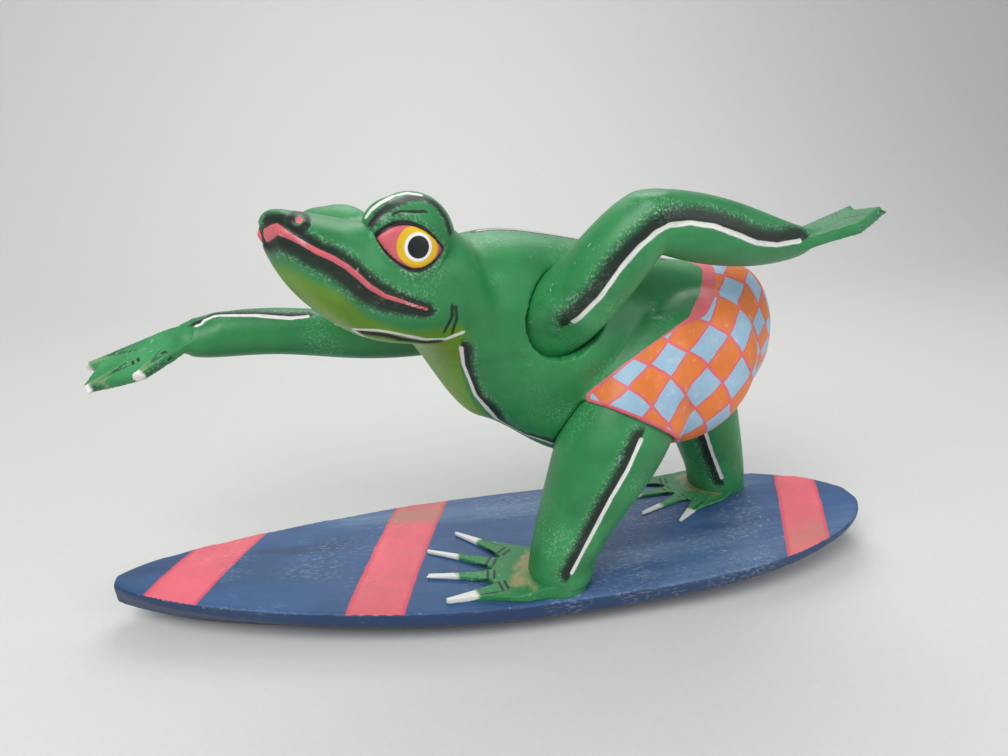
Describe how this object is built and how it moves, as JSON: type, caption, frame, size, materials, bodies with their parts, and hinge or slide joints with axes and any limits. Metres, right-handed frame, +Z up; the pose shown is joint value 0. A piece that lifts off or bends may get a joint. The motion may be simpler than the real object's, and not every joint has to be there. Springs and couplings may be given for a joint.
{
  "type": "carved figurine",
  "caption": "Carved and painted wooden frog in checked shorts crouching on a striped surfboard, arms flung out, an ornament that stands on a shelf.",
  "frame": {"origin": "middle of the board's flat underside, on the shelf", "axes": "+X along the board towards its tail, the frog looks towards -X; +Y to the frog's right; +Z up"},
  "size_m": [0.3045, 0.0908, 0.1572],
  "materials": {
    "frog_paint": "satin",
    "board_paint": "satin",
    "peg_wood": "matte"
  },
  "bodies": {
    "root": {"surfboard": "board_paint", "head_and_body": "frog_paint", "left_arm": "frog_paint", "right_arm": "frog_paint", "left_leg": "frog_paint", "right_leg": "frog_paint", "left_foot": "frog_paint", "right_foot": "frog_paint", "left_shoulder_peg": "peg_wood", "right_shoulder_peg": "peg_wood", "left_hip_peg": "peg_wood", "right_hip_peg": "peg_wood", "left_ankle_peg": "peg_wood", "right_ankle_peg": "peg_wood"}
  },
  "joints": []
}
